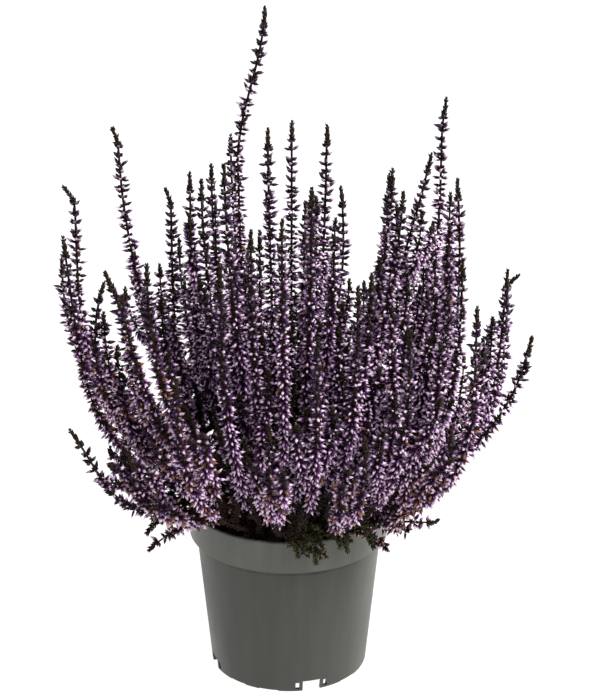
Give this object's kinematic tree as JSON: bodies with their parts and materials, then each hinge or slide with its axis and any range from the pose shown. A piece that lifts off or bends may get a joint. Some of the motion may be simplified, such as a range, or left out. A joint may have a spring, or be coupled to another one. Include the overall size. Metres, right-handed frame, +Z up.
{
  "type": "potted heather",
  "caption": "Bushy heather with upright bud-covered flower spikes and low green shoots, rooted in compost in a small plastic nursery pot that stands flat.",
  "frame": {"origin": "centre of the pot's foot, on the surface that it stands on", "axes": "+Z up along the pot's axis, -Y towards the viewer of the pictured front, +X to that viewer's right"},
  "size_m": [0.2756, 0.2724, 0.405],
  "materials": {
    "pot_plastic": "satin",
    "compost": "matte",
    "flower_buds": "matte",
    "green_leaves": "matte"
  },
  "bodies": {
    "root": {"pot": "pot_plastic", "soil": "compost", "flower_spike_01": "flower_buds", "flower_spike_02": "flower_buds", "flower_spike_03": "flower_buds", "flower_spike_04": "flower_buds", "flower_spike_05": "flower_buds", "flower_spike_06": "flower_buds", "flower_spike_07": "flower_buds", "flower_spike_08": "flower_buds", "flower_spike_09": "flower_buds", "flower_spike_10": "flower_buds", "flower_spike_11": "flower_buds", "flower_spike_12": "flower_buds", "flower_spike_13": "flower_buds", "flower_spike_14": "flower_buds", "flower_spike_15": "flower_buds", "flower_spike_16": "flower_buds", "flower_spike_17": "flower_buds", "flower_spike_18": "flower_buds", "flower_spike_19": "flower_buds", "flower_spike_20": "flower_buds", "flower_spike_21": "flower_buds", "flower_spike_22": "flower_buds", "flower_spike_23": "flower_buds", "flower_spike_24": "flower_buds", "flower_spike_25": "flower_buds", "flower_spike_26": "flower_buds", "flower_spike_27": "flower_buds", "flower_spike_28": "flower_buds", "flower_spike_29": "flower_buds", "flower_spike_30": "flower_buds", "flower_spike_31": "flower_buds", "flower_spike_32": "flower_buds", "flower_spike_33": "flower_buds", "flower_spike_34": "flower_buds", "flower_spike_35": "flower_buds", "flower_spike_36": "flower_buds", "flower_spike_37": "flower_buds", "flower_spike_38": "flower_buds", "flower_spike_39": "flower_buds", "flower_spike_40": "flower_buds", "flower_spike_41": "flower_buds", "flower_spike_42": "flower_buds", "flower_spike_43": "flower_buds", "flower_spike_44": "flower_buds", "flower_spike_45": "flower_buds", "flower_spike_46": "flower_buds", "flower_spike_47": "flower_buds", "flower_spike_48": "flower_buds", "flower_spike_49": "flower_buds", "flower_spike_50": "flower_buds", "flower_spike_51": "flower_buds", "flower_spike_52": "flower_buds", "flower_spike_53": "flower_buds", "green_shoot_1": "green_leaves", "green_shoot_2": "green_leaves", "green_shoot_3": "green_leaves", "green_shoot_4": "green_leaves", "green_shoot_5": "green_leaves"}
  },
  "joints": []
}
